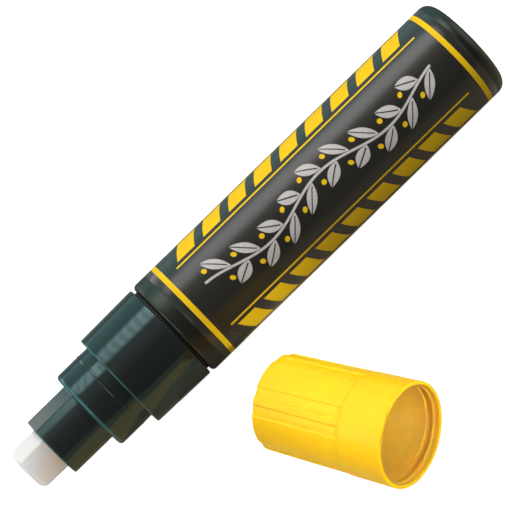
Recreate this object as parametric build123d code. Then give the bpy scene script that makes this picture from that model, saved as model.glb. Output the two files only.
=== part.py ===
from build123d import *

import os
from math import atan2, cos, dist, isclose, pi, radians, sin, sqrt

# A broad liquid chalk marker with a spring valve behind its nib, and its cap, taken off, beside it.
# The marker is drawn upright on its own axis, base at height zero and nib on top, then laid on its
# side with its base towards +X and its nib towards -X. The cap is drawn mouth down on its own axis
# and laid on the same floor. Lengths are in millimetres and angles in degrees.

# Barrel
barrel_diameter = 30.0
barrel_length = 106.9
barrel_wall = 2.1
base_thickness = 2.4
base_round = 3.0
barrel_mouth_round = 1.2
cavity_round = 1.5

# Label film, flush in a shallow recess round the barrel
label_thickness = 0.15
label_glue = 0.02
label_base_margin = 3.4
label_mouth_margin = 4.4

# Gasket clamped between the barrel and the collar
gasket_thickness = 0.7
gasket_width = 0.5

# Mouthpiece, outside: plug in the barrel, collar, seat for the cap, nozzle
plug_length = 13.0
plug_lead = 0.8
snap_drop = 6.0
snap_height = 0.35
snap_width = 1.6
snap_crest_share = 1 / 3
collar_length = 18.5
collar_inset = 0.2
collar_taper = 0.35
collar_edge = 0.4
seat_length = 11.1
seat_shoulder = 2.35
seat_neck_step = 0.15
seat_neck_length = 2.4
seat_round = 1.0
bead_offset = 3.3
bead_height = 0.2
bead_width = 0.7
nozzle_length = 13.3
nozzle_shoulder = 3.1
nozzle_flat_depth = 0.55
nozzle_edge = 0.3

# Mouthpiece, inside: bore for the valve, chamber for the nib's socket
plug_wall = 1.5
chamber_wall = 2.65
chamber_roof = 1.2

# Fibre nib, a block with rounded edges
nib_wall = 2.7
nib_thickness_share = 0.6435
nib_reach = 9.1
nib_side_round = 1.0
nib_tip_round = 2.2
nib_turn = 20.0
nib_travel = 2.5
nib_gap = 0.15

# Valve plunger: socket that grips the nib, stem, conical head, spring guide
socket_gap = 0.4
socket_depth = 7.0
socket_floor = 2.4
socket_flute_diameter = 3.0
socket_flutes = 4
stem_diameter = 4.8
head_diameter = 10.4
head_rim = 1.0
guide_diameter = 4.2
guide_length = 4.0

# Valve seat, cage and spring
valve_seat_thickness = 2.4
port_diameter = 6.8
flange_thickness = 2.2
head_room = 1.0
cage_wall = 1.2
cage_floor = 1.4
cage_drain_diameter = 3.0
cage_slots = 4
cage_slot_width = 4.5
cage_slot_margin = 3.0
spring_length = 16.5
spring_diameter = 7.2
spring_wire = 0.7
spring_turns = 7

# Mixing ball, loose in the barrel
ball_diameter = 6.4
ball_from_base = 46.0

# Cap: smooth ring at the mouth, grooved grip behind it, snap and seal lands inside
cap_length = 40.0
cap_mouth_wall = 1.4
cap_draft = 0.85
cap_wall = 1.2
cap_end_wall = 1.6
cap_lip_round = 0.35
cap_end_round = 1.2
cap_ring_length = 13.2
cap_ring_step = 0.12
groove_depth = 0.28
groove_angle = 12.5
rib_angle = 9.0
grip_repeats = 5
cap_lip_depth = 1.4
cap_snap_rise = 0.4
cap_snap_land = 0.5
cap_snap_gap = 0.17
cap_bead_room = 0.2
cap_seal_end = 7.2
cap_seal_gap = 0.1
cap_deep_gap = 0.2

# Where the cap lies: its mouth's centre on the floor, the way its mouth points, and its turn
cap_mouth_x = -83.9
cap_mouth_y = -75.9
cap_heading = -65.5
cap_turn = 10.0

# Clearances and the overrun of cuts
press_gap = 0.05
run_gap = 0.1
stop_gap = 0.3
overrun = 1.0

# Radii, from the barrel inwards and forwards, and the nib's section
barrel_radius = barrel_diameter / 2
cavity_radius = barrel_radius - barrel_wall
label_bed_radius = barrel_radius - label_thickness - label_glue
plug_radius = cavity_radius - press_gap
collar_back_radius = barrel_radius - collar_inset
collar_front_radius = collar_back_radius - collar_taper
seat_radius = collar_front_radius - seat_shoulder
seat_neck_radius = seat_radius - seat_neck_step
nozzle_radius = seat_radius - nozzle_shoulder
nozzle_across_flats = 2 * (nozzle_radius - nozzle_flat_depth)
nib_width = nozzle_across_flats - 2 * nib_wall
nib_thickness = nib_width * nib_thickness_share
valve_bore_radius = plug_radius - plug_wall
valve_radius = valve_bore_radius - press_gap
chamber_radius = seat_neck_radius - chamber_wall
socket_radius = chamber_radius - socket_gap
stem_radius = stem_diameter / 2
head_radius = head_diameter / 2
guide_radius = guide_diameter / 2
port_radius = port_diameter / 2
cage_bore_radius = head_radius + head_room
cage_radius = cage_bore_radius + cage_wall
spring_radius = (spring_diameter - spring_wire) / 2
ball_radius = ball_diameter / 2
cap_mouth_radius = seat_radius + cap_mouth_wall
cap_end_radius = cap_mouth_radius - cap_draft

# Heights up the marker's axis
plug_base = barrel_length - plug_length
snap_level = barrel_length - snap_drop
collar_base = barrel_length + gasket_thickness
seat_base = collar_base + collar_length
nozzle_base = seat_base + seat_length
nozzle_top = nozzle_base + nozzle_length
nib_top = nozzle_top + nib_reach
chamber_top = nozzle_base - chamber_roof
socket_top = chamber_top - run_gap
pocket_base = socket_top - socket_depth
socket_base = pocket_base - socket_floor
valve_seat_top = socket_base - nib_travel - stop_gap
valve_seat_base = valve_seat_top - valve_seat_thickness
flange_base = valve_seat_base - flange_thickness
head_shoulder = valve_seat_base - (head_radius - port_radius) - run_gap
head_base = head_shoulder - head_rim
spring_base = head_base - spring_length
cage_base = spring_base - cage_floor


def turned(*outline):
    """Revolve a closed outline of (radius, height) points about the upright axis."""
    return revolve(Plane.XZ * make_face(Polyline(*outline, close=True)), Axis.Z)


def tube(outer, inner, low, high):
    """A plain ring between two radii and two heights."""
    return turned((inner, low), (outer, low), (outer, high), (inner, high))


def rims(solid, radius, height):
    """The circular edges of a turned solid at one radius and height."""
    circles = solid.edges().filter_by(GeomType.CIRCLE)
    return [
        edge
        for edge in circles
        if isclose(edge.radius, radius, rel_tol=1e-6)
        and isclose(edge.arc_center.Z, height, rel_tol=1e-6, abs_tol=1e-6)
    ]


def nib_section(gap):
    """The nib's rounded rectangle, grown by a gap all round and turned about the axis."""
    return RectangleRounded(
        nib_width + 2 * gap, nib_thickness + 2 * gap, nib_side_round + gap, rotation=nib_turn
    )


def around(count, solid):
    """Copies of a solid at even steps about the upright axis."""
    return [Rot(0, 0, step * 360 / count) * solid for step in range(count)]


def make_barrel():
    """Closed tube with a label recess and a groove that takes the mouthpiece's snap ring."""
    body = turned(
        (0, 0),
        (barrel_radius, 0),
        (barrel_radius, barrel_length),
        (cavity_radius, barrel_length),
        (cavity_radius, base_thickness),
        (0, base_thickness),
    )
    body = fillet(rims(body, barrel_radius, 0), base_round)
    body = fillet(rims(body, barrel_radius, barrel_length), barrel_mouth_round)
    body = fillet(rims(body, cavity_radius, base_thickness), cavity_round)
    label_top = barrel_length - label_mouth_margin
    body -= tube(barrel_radius + overrun, label_bed_radius, label_base_margin, label_top)
    return body - snap_ring(press_gap)


def snap_ring(gap):
    """Ridge round the plug with sloping sides, grown by a gap where the barrel makes room for it."""
    half = snap_width / 2 + gap
    crest = plug_radius + snap_height + gap
    root = plug_radius - snap_height
    return turned(
        (root, snap_level - half),
        (plug_radius + gap, snap_level - half),
        (crest, snap_level - half * snap_crest_share),
        (crest, snap_level + half * snap_crest_share),
        (plug_radius + gap, snap_level + half),
        (root, snap_level + half),
    )


def make_label():
    """Printed film wrapped once round the barrel."""
    inner = barrel_radius - label_thickness
    return tube(barrel_radius, inner, label_base_margin, barrel_length - label_mouth_margin)


def make_gasket():
    """Flat rubber ring that fills the gap between the barrel's mouth and the collar."""
    return tube(cavity_radius + gasket_width, cavity_radius, barrel_length, collar_base)


def make_mouthpiece():
    """Stepped front section: plug, tapered collar, seat with its snap bead, and flatted nozzle."""
    body = turned(
        (valve_bore_radius, plug_base),
        (plug_radius - plug_lead, plug_base),
        (plug_radius, plug_base + plug_lead),
        (plug_radius, collar_base),
        (collar_back_radius, collar_base),
        (collar_front_radius, seat_base),
        (seat_neck_radius, seat_base),
        (seat_neck_radius, seat_base + seat_neck_length),
        (seat_radius, seat_base + seat_neck_length),
        (seat_radius, nozzle_base),
        (nozzle_radius, nozzle_base),
        (nozzle_radius, nozzle_top),
        (0, nozzle_top),
        (0, chamber_top),
        (chamber_radius, chamber_top),
        (chamber_radius, valve_seat_top),
        (valve_bore_radius, valve_seat_top),
    )
    body = fillet(rims(body, collar_back_radius, collar_base), collar_edge)
    body = fillet(rims(body, collar_front_radius, seat_base), collar_edge)
    body = fillet(rims(body, seat_radius, nozzle_base), seat_round)
    bead = Pos(seat_radius, seat_base + bead_offset) * Ellipse(bead_height, bead_width / 2)
    body += [snap_ring(0), revolve(Plane.XZ * bead, Axis.Z)]
    body -= nozzle_flats()
    rim = body.faces().sort_by(Axis.Z)[-1].outer_wire().edges()
    body = chamfer(rim, nozzle_edge)
    bore_length = nozzle_top - chamber_top + 2 * overrun
    return body - Pos(0, 0, chamber_top - overrun) * extrude(nib_section(nib_gap), bore_length)


def nozzle_flats():
    """Two slabs that trim the round nozzle parallel to the nib's narrow faces."""
    depth = nozzle_radius - nozzle_across_flats / 2 + overrun
    slab = Box(
        depth, 2 * nozzle_radius, nozzle_length + overrun, align=(Align.MIN, Align.CENTER, Align.MIN)
    )
    slab = Pos(nozzle_across_flats / 2, 0, nozzle_base) * slab
    return [Rot(0, 0, nib_turn) * half_turn for half_turn in around(2, slab)]


def make_nib():
    """Compressed fibre block whose writing edges are rounded."""
    block = Pos(0, 0, pocket_base) * extrude(nib_section(0), nib_top - pocket_base)
    tip = block.faces().sort_by(Axis.Z)[-1].edges()
    return fillet(tip, nib_tip_round)


def make_plunger():
    """Socket round the nib's tail, stem through the port, conical head and spring guide."""
    body = turned(
        (0, head_base - guide_length),
        (guide_radius, head_base - guide_length),
        (guide_radius, head_base),
        (head_radius, head_base),
        (head_radius, head_shoulder),
        (stem_radius, head_shoulder + head_radius - stem_radius),
        (stem_radius, socket_base),
        (socket_radius, socket_base),
        (socket_radius, socket_top),
        (0, socket_top),
    )
    body -= Pos(0, 0, pocket_base) * extrude(nib_section(press_gap), socket_depth + overrun)
    flute_length = socket_top - socket_base + 2 * overrun
    flute = Pos(socket_radius, 0, socket_base - overrun) * extrude(
        Circle(socket_flute_diameter / 2), flute_length
    )
    return body - [Rot(0, 0, nib_turn) * groove for groove in around(socket_flutes, flute)]


def make_valve_seat():
    """Soft disc whose port the plunger's cone closes from behind."""
    return tube(valve_radius, port_radius, valve_seat_base, valve_seat_top)


def make_cage():
    """Slotted basket that backs the seat with its flange and holds the spring on its floor."""
    body = turned(
        (0, cage_base),
        (cage_radius, cage_base),
        (cage_radius, flange_base),
        (valve_radius, flange_base),
        (valve_radius, valve_seat_base),
        (cage_bore_radius, valve_seat_base),
        (cage_bore_radius, spring_base),
        (0, spring_base),
    )
    slot_height = flange_base - spring_base - 2 * cage_slot_margin
    slot = Pos(0, 0, spring_base + cage_slot_margin) * Box(
        cage_radius + overrun, cage_slot_width, slot_height, align=(Align.MIN, Align.CENTER, Align.MIN)
    )
    drain = Pos(0, 0, cage_base - overrun) * extrude(
        Circle(cage_drain_diameter / 2), cage_floor + 2 * overrun
    )
    return body - around(cage_slots, slot) - drain


def helix_point(turn):
    """A point of the spring's centre line, counted in turns from its lower end."""
    low = spring_base + spring_wire / 2 + press_gap
    rise = spring_length - spring_wire - 2 * press_gap
    angle = 2 * pi * turn
    return Vector(
        spring_radius * cos(angle), spring_radius * sin(angle), low + rise * turn / spring_turns
    )


def make_spring():
    """Round wire wound on tangent arcs, two to each quarter turn of the helix."""
    lead = (spring_length - spring_wire - 2 * press_gap) / spring_turns / (2 * pi)
    half = pi / 4
    swing = spring_radius * sin(half)
    climb = lead * lead * half
    reach = 2 * spring_radius * cos(half) * climb + swing * (spring_radius**2 + climb * half)
    joint_radius = (sqrt(climb * climb + swing * reach) - climb) / swing

    def tangent(turn):
        angle = 2 * pi * turn
        return Vector(-spring_radius * sin(angle), spring_radius * cos(angle), lead)

    arcs = []
    quarters = 4 * spring_turns
    for quarter in range(quarters):
        start = quarter / 4
        middle = helix_point(start + 1 / 8)
        joint = Vector(middle.X, middle.Y, 0) * (joint_radius / spring_radius) + Vector(0, 0, middle.Z)
        first = TangentArc(helix_point(start), joint, tangent=tangent(start))
        arcs += [first, TangentArc(joint, helix_point(start + 1 / 4), tangent=first % 1)]
    section = Plane(helix_point(0), z_dir=tangent(0)) * Circle(spring_wire / 2)
    return sweep(section, path=Wire(arcs))


def spring_gap():
    """Least gap between neighbouring turns, measured on points of the centre line."""
    steps_per_turn = 48
    steps = steps_per_turn * spring_turns
    points = [tuple(helix_point(step / steps_per_turn)) for step in range(steps + 1)]
    half_turn = steps_per_turn // 2
    gaps = [
        dist(points[low], points[high])
        for low in range(steps + 1)
        for high in range(low + half_turn, steps + 1)
    ]
    return min(gaps) - spring_wire


def make_ball():
    """Steel ball that lies on the lower side of the barrel's cavity."""
    drop = cavity_radius - ball_radius - run_gap
    return Pos(-drop, 0, ball_from_base) * Sphere(ball_radius)


def cap_radius(height):
    """Outer radius of the cap's drafted wall at a height above its mouth."""
    return cap_mouth_radius - (cap_mouth_radius - cap_end_radius) * height / cap_length


def make_cap():
    """Drafted cap with paired grip grooves, a snap ridge and a seal land inside its mouth."""
    lip = seat_radius + bead_height + cap_bead_room
    ridge = seat_neck_radius + cap_snap_gap
    seal = seat_radius + cap_seal_gap
    ridge_low = cap_lip_depth + cap_snap_rise
    ridge_high = ridge_low + cap_snap_land
    room_low = ridge_high + cap_snap_rise
    room_high = bead_offset + bead_width / 2 + cap_bead_room
    roof = cap_length - cap_end_wall
    grip_step = cap_radius(cap_ring_length) - cap_ring_step
    body = turned(
        (lip, 0),
        (cap_mouth_radius, 0),
        (cap_radius(cap_ring_length), cap_ring_length),
        (grip_step, cap_ring_length),
        (cap_end_radius - cap_ring_step, cap_length),
        (0, cap_length),
        (0, roof),
        (cap_radius(roof) - cap_ring_step - cap_wall, roof),
        (seat_radius + cap_deep_gap, cap_seal_end + cap_snap_rise),
        (seal, cap_seal_end),
        (seal, room_high + cap_snap_rise),
        (lip, room_high),
        (lip, room_low),
        (ridge, ridge_high),
        (ridge, ridge_low),
        (lip, cap_lip_depth),
    )
    body = fillet(rims(body, cap_mouth_radius, 0) + rims(body, lip, 0), cap_lip_round)
    body = fillet(rims(body, cap_end_radius - cap_ring_step, cap_length), cap_end_round)
    return body - grip_grooves()


def grip_grooves():
    """Pairs of shallow drafted grooves, open at the closed end and stopped by the smooth ring."""
    top = cap_length + overrun
    inset = cap_ring_step + groove_depth
    floor = Polyline(
        (cap_radius(cap_ring_length) - inset, cap_ring_length),
        (cap_radius(top) - inset, top),
        (cap_mouth_radius + overrun, top),
        (cap_mouth_radius + overrun, cap_ring_length),
        close=True,
    )
    groove = revolve(Plane.XZ * make_face(floor), Axis.Z, groove_angle)
    pair_angle = 2 * groove_angle + rib_angle
    first = cap_turn + 180 / grip_repeats - pair_angle / 2
    starts = (first, first + groove_angle + rib_angle)
    return [turn for start in starts for turn in around(grip_repeats, Rot(0, 0, start) * groove)]


def cap_lay():
    """The cap's place on the floor, lying on its ring's rear edge and its closed end's edge."""
    ring_radius = cap_radius(cap_ring_length)
    end_radius = cap_end_radius - cap_ring_step
    tilt = atan2(ring_radius - end_radius, cap_length - cap_ring_length - cap_end_round)
    heading = radians(cap_heading)
    mouth = Vector(cos(tilt) * cos(heading), cos(tilt) * sin(heading), sin(tilt))
    height = ring_radius * cos(tilt) + cap_ring_length * sin(tilt) - barrel_radius
    place = Vector(cap_mouth_x, cap_mouth_y, height)
    return Plane(place, x_dir=Vector(0, 0, 1) - mouth * mouth.Z, z_dir=mouth * -1).location


marker_lay = Plane((0, 0, 0), x_dir=(0, 0, 1), z_dir=(-1, 0, 0)).location

pieces = {
    "barrel": marker_lay * make_barrel(),
    "label_sleeve": marker_lay * make_label(),
    "barrel_gasket": marker_lay * make_gasket(),
    "mouthpiece": marker_lay * make_mouthpiece(),
    "nib": marker_lay * make_nib(),
    "valve_plunger": marker_lay * make_plunger(),
    "valve_seat": marker_lay * make_valve_seat(),
    "valve_cage": marker_lay * make_cage(),
    "valve_spring": marker_lay * make_spring(),
    "mixing_ball": marker_lay * make_ball(),
    "cap": cap_lay() * make_cap(),
}

os.makedirs("parts", exist_ok=True)
for name, solid in pieces.items():
    export_step(solid, f"parts/{name}.step")

print(f"Marker length {nib_top:.1f} mm with the cap off.")
print(f"Least gap between the spring's turns {spring_gap():.2f} mm.")
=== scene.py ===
"""Looks for a liquid chalk marker and the cap beside it, on the white floor of a photo studio."""

import math
from functools import reduce

import bmesh
import bpy
import numpy as np
from bpy.props import FloatProperty, FloatVectorProperty, IntProperty, PointerProperty
from bpy.types import Operator, Panel, PropertyGroup
from mathutils import Matrix, Quaternion, Vector


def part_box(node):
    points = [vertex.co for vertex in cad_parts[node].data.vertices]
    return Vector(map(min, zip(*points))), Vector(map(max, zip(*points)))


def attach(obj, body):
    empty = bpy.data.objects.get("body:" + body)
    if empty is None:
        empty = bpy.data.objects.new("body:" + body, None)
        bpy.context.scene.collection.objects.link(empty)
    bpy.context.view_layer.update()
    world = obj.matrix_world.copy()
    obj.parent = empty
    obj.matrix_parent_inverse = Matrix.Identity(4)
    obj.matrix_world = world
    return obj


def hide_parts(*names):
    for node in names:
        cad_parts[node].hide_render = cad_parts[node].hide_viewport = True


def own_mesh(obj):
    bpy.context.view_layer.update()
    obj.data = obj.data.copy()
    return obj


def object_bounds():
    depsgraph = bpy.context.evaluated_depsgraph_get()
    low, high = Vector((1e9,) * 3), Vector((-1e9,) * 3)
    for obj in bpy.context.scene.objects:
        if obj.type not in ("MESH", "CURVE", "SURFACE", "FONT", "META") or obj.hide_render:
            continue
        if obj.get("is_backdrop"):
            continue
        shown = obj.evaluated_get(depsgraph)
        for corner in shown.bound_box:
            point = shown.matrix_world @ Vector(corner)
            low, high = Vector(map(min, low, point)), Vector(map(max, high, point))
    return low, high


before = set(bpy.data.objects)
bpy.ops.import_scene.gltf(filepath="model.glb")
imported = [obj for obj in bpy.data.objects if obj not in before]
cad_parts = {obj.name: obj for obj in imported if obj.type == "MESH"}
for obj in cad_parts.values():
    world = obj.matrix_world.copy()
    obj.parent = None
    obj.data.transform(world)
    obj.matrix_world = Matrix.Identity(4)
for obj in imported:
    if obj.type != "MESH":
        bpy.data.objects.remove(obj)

bl_info = {
    "name": "Liquid Chalk Marker",
    "version": (1, 0, 0),
    "blender": (4, 5, 0),
    "location": "View3D > Sidebar > Chalk Marker",
    "description": "Builds the visible pieces and finishes of a broad liquid chalk marker",
    "category": "Object",
}

MM = 0.001


def lengths(*millimetres):
    """Lengths in metres, given in millimetres."""
    return [size * MM for size in millimetres]


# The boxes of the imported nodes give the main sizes
BARREL_LOW, BARREL_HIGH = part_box("barrel")
LABEL_LOW, LABEL_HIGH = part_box("label_sleeve")
MOUTHPIECE_LOW, MOUTHPIECE_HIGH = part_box("mouthpiece")
NIB_LOW, NIB_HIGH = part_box("nib")

# Heights on the front section, as in the solids: its steps, its snap ridge and its bead
COLLAR_BASE, SEAT_BASE, SEAT_TOP, RIDGE, BEAD = lengths(107.6, 126.1, 137.2, 100.9, 129.4)
NOZZLE_TOP = -MOUTHPIECE_LOW.x

# Its hollow: radii of the bore and the chamber, and heights of the valve's face and the chamber's top
BORE, CHAMBER, VALVE_FACE, CHAMBER_TOP = lengths(11.35, 9.3, 123.7, 136.0)

# The middle of the scene, which the camera and most lights face
TARGET = Vector(lengths(-79.0, -11.6, 11.2))

# Points round the marker's turned pieces
COLUMNS = 240

# Directions of a ring about the marker's axis: up, to the far side, and along towards the nib
MARKER_AXES = np.array([(0.0, 0.0, 1.0), (0.0, 1.0, 0.0), (-1.0, 0.0, 0.0)])


def length(name, description, millimetres):
    """A size that a user may change, in metres, given in millimetres."""
    return FloatProperty(
        name=name, description=description, default=millimetres * MM, min=0.0, unit="LENGTH", precision=5
    )


def colour(name, description, red_green_blue):
    """A finish's colour that a user may change."""
    return FloatVectorProperty(
        name=name, description=description, default=red_green_blue, min=0.0, max=1.0, size=3, subtype="COLOR"
    )


def angle(name, description, degrees):
    """A turn that a user may change."""
    return FloatProperty(name=name, description=description, default=math.radians(degrees), subtype="ANGLE")


def share(name, description, value):
    """A plain share or strength that a user may change."""
    return FloatProperty(name=name, description=description, default=value, min=0.0)


class BarrelSettings(PropertyGroup):
    diameter: length("Diameter", "Across the barrel", 2 * BARREL_HIGH.z / MM)
    height: length("Length", "From the flat base to the mouth", -BARREL_LOW.x / MM)
    wall: length("Wall", "Thickness of the tube", 2.1)
    floor: length("Base thickness", "Thickness of the closed end", 2.4)
    base_round: length("Base round", "Round of the base edge", 3.0)
    mouth_round: length("Mouth round", "Round of the front rim", 1.2)
    bed: length("Label bed", "Depth of the recess for the label", 0.17)
    shade: colour("Colour", "Dark green-black of the barrel", (0.0078, 0.0082, 0.0068))
    sheen: colour("Reflection tint", "Tint of the barrel's reflections", (0.78, 0.90, 0.74))


class LabelSettings(PropertyGroup):
    start: length("Start", "Distance of the film from the base", -LABEL_HIGH.x / MM)
    stop: length("End", "Distance of the film's front edge from the base", -LABEL_LOW.x / MM)
    film: length("Film", "Thickness of the printed film", 0.15)
    lap: length("Lap", "Width of the glued overlap", 5.0)
    lap_rise: length("Lap rise", "Height of the overlap's step", 0.05)
    facing: angle("Facing", "Turn of the print's middle about the axis, from upright", -38.0)
    ground: colour("Ground", "Black of the print", (0.0195, 0.0195, 0.0160))
    accent: colour("Accent", "Yellow of the print", (0.80, 0.505, 0.008))
    chalk: colour("Chalk", "Off-white of the print", (0.54, 0.515, 0.50))


class GasketSettings(PropertyGroup):
    width: length("Width", "Width of the ring", 0.5)
    shade: colour("Colour", "Black of the rubber", (0.008, 0.008, 0.008))


class MouthpieceSettings(PropertyGroup):
    collar_back: length("Collar back", "Across the collar at the barrel", 29.6)
    collar_front: length("Collar front", "Across the collar at its front edge", 28.9)
    seat: length("Cap seat", "Across the seat for the cap", 24.2)
    nozzle: length("Nozzle", "Across the round of the nozzle", 18.0)
    flats: length("Nozzle flats", "Across the nozzle's flats", 16.9)
    shade: colour("Colour", "Dark teal of the moulding", (0.0150, 0.0160, 0.0146))
    sheen: colour("Reflection tint", "Tint of the moulding's reflections", (0.55, 1.0, 1.0))
    # Painted highlight: a paler teal along the front edges of the steps, standing in for the light that they
    # catch
    edge: colour("Edge", "Paler teal along the rubbed edges", (0.034, 0.125, 0.123))


class NibSettings(PropertyGroup):
    width: length("Width", "Wide side of the fibre block", 11.5)
    thickness: length("Thickness", "Narrow side of the fibre block", 7.4)
    turn: angle("Turn", "Turn of the block about the axis", 20.0)
    side_round: length("Side round", "Round of the block's long edges", 1.0)
    tip_round: length("Tip round", "Round of the writing edges", 2.2)
    fibre: length("Fibre relief", "Height of the fibres on the faces", 0.035)
    seed: IntProperty(name="Seed", description="Start of the fibres' random draw", default=11)
    shade: colour("Colour", "Off-white of the fibre", (0.93, 0.93, 0.92))
    # Beige of the stains between the fibres, also used as painted shade towards the lower edge
    stain_and_shade: colour("Shade", "Warm beige between the fibres", (0.86, 0.675, 0.475))
    # Painted shade: a duller white for the upper narrow face, which the light falls on most
    side: colour("Narrow side", "Dull white of the narrow faces", (0.70, 0.695, 0.685))


class CapSettings(PropertyGroup):
    height: length("Length", "From the mouth to the closed end", 40.0)
    mouth: length("Mouth", "Across the mouth", 27.0)
    end: length("End", "Across the closed end, before the step", 25.3)
    ring: length("Ring", "Length of the smooth ring at the mouth", 13.2)
    step: length("Ring step", "Height of the ring above the grip", 0.12)
    groove: length("Groove depth", "Depth of the grip grooves", 0.28)
    end_round: length("End round", "Round of the closed end's edge", 1.2)
    shade: colour("Colour", "Yellow of the cap", (1.0, 0.595, 0.008))
    # Painted light: the inner wall is paler and more orange than the outside, standing in for light through
    # the wall and bounced inside
    lining: colour("Inside", "Yellow of the cap's inner wall", (1.0, 0.615, 0.085))
    # Painted shade: the lands inside the mouth are a deeper yellow, standing in for shade near the mouth
    lands: colour("Lands", "Deeper yellow of the lands inside the mouth", (0.80, 0.47, 0.058))


class ValveSettings(PropertyGroup):
    plastic: colour("Plastic", "Natural white plastic of the valve", (0.78, 0.78, 0.75))
    rubber: colour("Rubber", "Grey of the valve seat", (0.50, 0.50, 0.48))
    wire_across: length("Wire", "Thickness of the spring's wire", 0.7)
    wire: colour("Wire colour", "Steel of the spring", (0.62, 0.61, 0.60))
    ball: colour("Ball", "Steel of the mixing ball", (0.66, 0.66, 0.65))


class StageSettings(PropertyGroup):
    lens: FloatProperty(name="Lens", description="Focal length in millimetres", default=210.6, min=1.0)
    distance: length("Distance", "From the camera to its target", 760.0)
    azimuth: angle("Azimuth", "Turn of the camera about the upright axis", -4.34)
    elevation: angle("Elevation", "Height of the camera above the floor's horizon", 49.91)
    roll: angle("Roll", "Turn of the camera about its own axis", -40.96)
    key: share("Key light", "Radiance of the softbox", 4.6)
    sides: share("Base card", "Radiance of the card at the base", 1.7)
    edges: share("Edge card", "Radiance of the card that the front edges reflect", 3.5)
    amber: share("Amber card", "Radiance of the amber card on the floor by the nozzle", 1.25)
    facet: share("Back card", "Radiance of the card behind the nozzle", 1.86)
    mouth: share("Mouth lamp", "Power of the narrow lamp that looks into the cap, in watts", 74.0)
    nib: share("Nib lamp", "Power of the narrow lamp on the nib, in watts", 24.0)
    top_fill: share("Top fill", "Radiance of the wide soft light overhead", 1.65)
    fill: share("Front fill", "Radiance of the soft light beside the camera", 0.8)
    side_fill: share("Side fill", "Radiance of the soft light at the nib's end", 2.6)
    floor: colour("Floor", "White of the floor", (0.64, 0.64, 0.64))
    glow: share("Floor glow", "Light that the floor shows of itself, as a lit table does", 0.91)


def operation(kind):
    """A method of Value that adds a Math node of one kind."""
    return lambda value, *others: value.math(kind, *others)


class Value:
    """A shader socket that can be computed with: each operation adds a Math node."""

    def __init__(self, graph, socket):
        self.graph = graph
        self.socket = socket

    def math(self, kind, *others):
        return self.graph.math(kind, self, *others)

    __add__ = __radd__ = operation("ADD")
    __mul__ = __rmul__ = operation("MULTIPLY")
    __sub__ = operation("SUBTRACT")
    __truediv__ = operation("DIVIDE")
    __abs__ = operation("ABSOLUTE")
    least = operation("MINIMUM")
    most = operation("MAXIMUM")

    def __rsub__(self, other):
        return self.graph.math("SUBTRACT", other, self)

    def clamped(self):
        return self.graph.value("ShaderNodeClamp", {"Value": self})

    def rise(self, start, span):
        """From 0 at a start to 1 a span beyond it, and level outside."""
        return ((self - start) / span).clamped()

    def band(self, centre, half):
        """How far this lies outside a band about a centre, below zero in it."""
        return abs(self - centre) - half

    def inside(self, softness):
        """1 where this distance is below zero, 0 where it is above, with a soft edge."""
        return (0.5 - self / softness).clamped()


class Graph:
    """The node tree of a material, a light or the world, whose nodes all come from node()."""

    def __init__(self, owner):
        owner.use_nodes = True
        self.tree = owner.node_tree
        self.tree.nodes.clear()

    def node(self, kind, sockets=(), **settings):
        """A node of a type, with its settings made first and its sockets then set or linked."""
        made = self.tree.nodes.new(kind)
        for name, setting in settings.items():
            setattr(made, name, setting)
        for key, given in dict(sockets).items():
            self.feed(made.inputs[key], given)
        return made

    def feed(self, socket, given):
        """Links an input to a value, a socket or a node's first output, or sets it to a constant."""
        if isinstance(given, Value):
            given = given.socket
        elif isinstance(given, bpy.types.Node):
            given = given.outputs[0]
        if isinstance(given, bpy.types.NodeSocket):
            self.tree.links.new(given, socket)
        elif socket.type == "RGBA" and len(given) == 3:
            socket.default_value = (*given, 1.0)
        else:
            socket.default_value = given

    def value(self, kind, sockets=(), output=0, **settings):
        return Value(self, self.node(kind, sockets, **settings).outputs[output])

    def math(self, kind, *operands):
        return self.value("ShaderNodeMath", enumerate(operands), operation=kind)

    def mix(self, factor, first, second):
        """One colour over another by a factor."""
        sockets = {0: factor, 6: first, 7: second}
        return self.node("ShaderNodeMix", sockets, data_type="RGBA", clamp_factor=True).outputs[2]

    def mottle(self, factor, shade, deepest):
        """A colour that goes down to a share of itself where the factor is 0."""
        return self.mix(factor, tuple(part * deepest for part in shade), shade)

    def either(self, factor, first, second):
        """One shader or another by a factor."""
        return self.node("ShaderNodeMixShader", {0: factor, 1: first, 2: second})

    def split(self, vector):
        """The three parts of a vector."""
        return [Value(self, part) for part in self.node("ShaderNodeSeparateXYZ", {0: vector}).outputs]

    def place(self):
        """The surface's own x, y and z in millimetres, which stay with the piece as it moves."""
        return [part / MM for part in self.split(self.node("ShaderNodeTexCoord").outputs["Object"])]

    def noise(self, where, scale, detail=2.0, roughness=0.5):
        """Soft noise from 0 to 1 at an x, y and z, with scale in features to a millimetre."""
        point = self.node("ShaderNodeCombineXYZ", enumerate(where))
        sockets = {"Vector": point, "Scale": scale, "Detail": detail, "Roughness": roughness}
        return self.value("ShaderNodeTexNoise", sockets, noise_dimensions="3D", normalize=True)

    def bump(self, height, depth):
        """A Bump node from a height share and its real depth in metres."""
        return self.node("ShaderNodeBump", {"Height": height, "Distance": depth, "Strength": 1.0})


def material(name, paint, *given, **named):
    """A material from a paint function's shader, or from the sockets that it gives for a Principled one."""
    made = bpy.data.materials.new(name)
    graph = Graph(made)
    shader = paint(graph, *given, **named)
    if isinstance(shader, dict):
        shader = graph.node("ShaderNodeBsdfPrincipled", shader)
    graph.node("ShaderNodeOutputMaterial", {"Surface": shader})
    return made


def moulded(graph, shade, rough, spread, grain, depth, ior, tint=(1.0, 1.0, 1.0)):
    """Sockets of a moulded plastic: slow colour drift, uneven gloss and a fine skin."""
    point = graph.place()
    drift = graph.noise(point, scale=0.045, detail=3.0)
    smear = graph.noise(point, scale=0.35, detail=4.0, roughness=0.6)
    fine = graph.noise(point, scale=grain, detail=3.0)
    return {
        "Base Color": graph.mottle(drift, shade, deepest=0.86),
        "Roughness": rough + (smear - 0.5) * spread,
        "Normal": graph.bump(fine, depth),
        "IOR": ior,
        "Specular Tint": tint,
    }


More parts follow.
